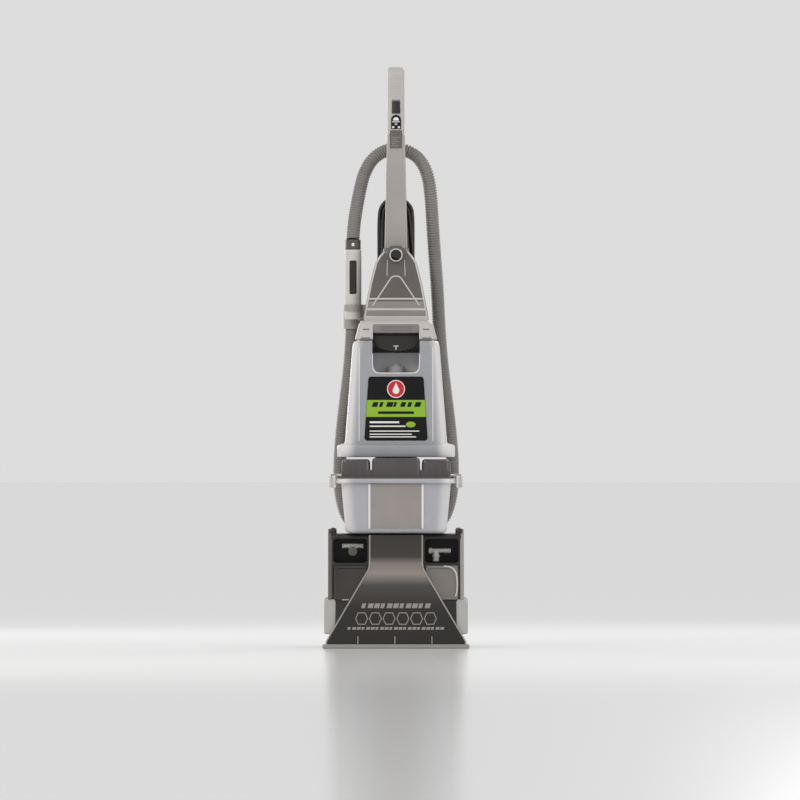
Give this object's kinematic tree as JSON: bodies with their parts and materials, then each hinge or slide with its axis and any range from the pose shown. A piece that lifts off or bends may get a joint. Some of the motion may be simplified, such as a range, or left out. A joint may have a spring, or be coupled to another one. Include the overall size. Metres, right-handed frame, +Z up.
{
  "type": "upright carpet cleaner",
  "caption": "Upright carpet washer: hood with flared suction nozzle, spinning brushes, clear tanks, tilting handle, hose loop and hand tool.",
  "frame": {"origin": "on the floor, under the middle of the object's box without the power cord", "axes": "+Z up, the front faces -Y, +X to the viewer's right"},
  "size_m": [0.278, 0.4, 1.106],
  "materials": {
    "dark_smoke": "gloss",
    "clear_smoke": "gloss",
    "lip_grey": "satin",
    "bumper_grey": "matt",
    "charcoal": "satin",
    "tyre": "matt",
    "steel": "turned",
    "bristle": "matt",
    "white_plastic": "satin",
    "milky_tank": "satin translucent",
    "clear_latch": "gloss",
    "label": "gloss",
    "warm_grey": "satin",
    "light_grey": "satin",
    "mid_grey": "satin",
    "hose_grey": "satin",
    "cord_black": "satin"
  },
  "bodies": {
    "base": {"base_chassis": "charcoal", "pivot_pin": "steel", "wheel_axle": "steel", "nozzle_front": "dark_smoke", "nozzle_back": "dark_smoke", "nozzle_lip": "lip_grey", "hood_shell": "dark_smoke", "side_bumper_left": "bumper_grey", "side_bumper_right": "bumper_grey", "brush_block": "charcoal", "turbine_housing": "white_plastic", "solution_valve": "white_plastic", "solution_elbow": "white_plastic", "suction_motor": "charcoal", "fan_housing": "charcoal", "window_panel": "dark_smoke", "turbine_cover": "clear_smoke"},
    "wheel_left": {"wheel_left": "tyre"},
    "wheel_right": {"wheel_right": "tyre"},
    "pedal": {"release_pedal": "charcoal"},
    "brush_1": {"brush_1": "bristle"},
    "brush_2": {"brush_2": "bristle"},
    "brush_3": {"brush_3": "bristle"},
    "brush_4": {"brush_4": "bristle"},
    "brush_5": {"brush_5": "bristle"},
    "turbine": {"turbine_rotor": "white_plastic"},
    "fan": {"fan_impeller": "white_plastic"},
    "recovery": {"recovery_tank": "milky_tank", "riser_duct": "clear_smoke", "recovery_lid": "clear_smoke"},
    "float": {"tank_float": "white_plastic"},
    "latch_left": {"lid_latch_left": "clear_latch"},
    "latch_right": {"lid_latch_right": "clear_latch"},
    "upright": {"spine_housing": "warm_grey", "housing_screws": "steel", "upright_frame": "light_grey", "tank_handle": "mid_grey", "neck_housing": "warm_grey", "handle_front_shell": "warm_grey", "handle_rear_shell": "warm_grey", "handle_grip": "warm_grey", "control_plate": "label", "power_cord_hank": "cord_black", "strain_relief": "cord_black", "power_plug": "cord_black", "hose_port": "warm_grey", "tool_hose": "hose_grey", "hand_grip": "light_grey", "grip_collar": "mid_grey", "grip_clip": "warm_grey"},
    "solution": {"solution_tank": "milky_tank", "tank_label": "label", "filler_cap": "white_plastic"},
    "tank_button": {"tank_latch": "charcoal"},
    "trigger": {"solution_trigger": "charcoal"},
    "rocker": {"power_rocker": "charcoal"},
    "slider": {"mode_slider": "warm_grey"},
    "upper_hook": {"cord_hook_upper": "warm_grey"},
    "hose_trigger": {"grip_trigger": "charcoal"},
    "hand_tool": {"hand_tool": "clear_smoke"}
  },
  "joints": [
    {"name": "upright_tilt", "type": "hinge", "parent": "base", "child": "upright", "pos_m": [0, 0.118, 0.095], "axis": [-1, 0, 0], "range_deg": [0, 45]},
    {"name": "wheel_left_spin", "type": "hinge", "parent": "base", "child": "wheel_left", "pos_m": [-0.115, 0.118, 0.05], "axis": [1, 0, 0], "continuous": true},
    {"name": "wheel_right_spin", "type": "hinge", "parent": "base", "child": "wheel_right", "pos_m": [0.115, 0.118, 0.05], "axis": [1, 0, 0], "continuous": true},
    {"name": "pedal_press", "type": "hinge", "parent": "base", "child": "pedal", "pos_m": [-0.075, 0.15, 0.076], "axis": [-1, 0, 0], "range_deg": [0, 12], "stiffness_Nm_per_rad": 2, "springref_deg": -5.73},
    {"name": "fan_spin", "type": "hinge", "parent": "base", "child": "fan", "pos_m": [0, 0, 0.17], "axis": [0, 0, 1], "continuous": true},
    {"name": "turbine_spin", "type": "hinge", "parent": "base", "child": "turbine", "pos_m": [0.086, -0.088, 0.09], "axis": [0, 0, 1], "continuous": true},
    {"name": "recovery_tank_slide", "type": "slide", "parent": "base", "child": "recovery", "axis": [0, -1, 0], "range_m": [0, 0.12]},
    {"name": "float_rise", "type": "slide", "parent": "recovery", "child": "float", "axis": [0, 0, 1], "range_m": [0, 0.03]},
    {"name": "latch_left_open", "type": "hinge", "parent": "recovery", "child": "latch_left", "pos_m": [-0.12015, -0.111, 0.308], "axis": [0, -1, 0], "range_deg": [0, 70]},
    {"name": "latch_right_open", "type": "hinge", "parent": "recovery", "child": "latch_right", "pos_m": [0.12015, -0.111, 0.308], "axis": [0, 1, 0], "range_deg": [0, 70]},
    {"name": "solution_tank_slide", "type": "slide", "parent": "upright", "child": "solution", "axis": [0, -1, 0], "range_m": [0, 0.12]},
    {"name": "tank_latch_press", "type": "slide", "parent": "upright", "child": "tank_button", "axis": [0, 0, -1], "range_m": [0, 0.005], "stiffness_N_per_m": 1000, "springref_m": -0.003},
    {"name": "solution_trigger_squeeze", "type": "hinge", "parent": "upright", "child": "trigger", "pos_m": [0, 0.089, 1.042], "axis": [-1, 0, 0], "range_deg": [0, 9], "stiffness_Nm_per_rad": 0.5, "springref_deg": -5.73},
    {"name": "power_rocker_tip", "type": "hinge", "parent": "upright", "child": "rocker", "pos_m": [0, 0.076, 1.0295], "axis": [1, 0, 0], "range_deg": [-8, 8]},
    {"name": "mode_slide", "type": "slide", "parent": "upright", "child": "slider", "axis": [1, 0, 0], "range_m": [-0.004, 0.004]},
    {"name": "cord_hook_turn", "type": "hinge", "parent": "upright", "child": "upper_hook", "pos_m": [0, 0.11, 0.832], "axis": [0, 1, 0], "range_deg": [0, 180]},
    {"name": "grip_trigger_press", "type": "slide", "parent": "upright", "child": "hose_trigger", "axis": [0, 1, 0], "range_m": [0, 0.004], "stiffness_N_per_m": 300},
    {"name": "hand_tool_lift", "type": "slide", "parent": "upright", "child": "hand_tool", "axis": [0, 0, 1], "range_m": [0, 0.08]},
    {"name": "brush_1_spin", "type": "hinge", "parent": "base", "child": "brush_1", "pos_m": [-0.088, -0.1, 0.03], "axis": [0, 0, 1], "continuous": true},
    {"name": "brush_2_spin", "type": "hinge", "parent": "base", "child": "brush_2", "pos_m": [-0.044, -0.1, 0.03], "axis": [0, 0, 1], "continuous": true},
    {"name": "brush_3_spin", "type": "hinge", "parent": "base", "child": "brush_3", "pos_m": [0, -0.1, 0.03], "axis": [0, 0, 1], "continuous": true},
    {"name": "brush_4_spin", "type": "hinge", "parent": "base", "child": "brush_4", "pos_m": [0.044, -0.1, 0.03], "axis": [0, 0, 1], "continuous": true},
    {"name": "brush_5_spin", "type": "hinge", "parent": "base", "child": "brush_5", "pos_m": [0.088, -0.1, 0.03], "axis": [0, 0, 1], "continuous": true}
  ],
  "couplings": [
    {"joint": "brush_1_spin", "follows": "brush_3_spin", "ratio": 1},
    {"joint": "brush_2_spin", "follows": "brush_3_spin", "ratio": -1},
    {"joint": "brush_4_spin", "follows": "brush_3_spin", "ratio": -1},
    {"joint": "brush_5_spin", "follows": "brush_3_spin", "ratio": 1}
  ]
}
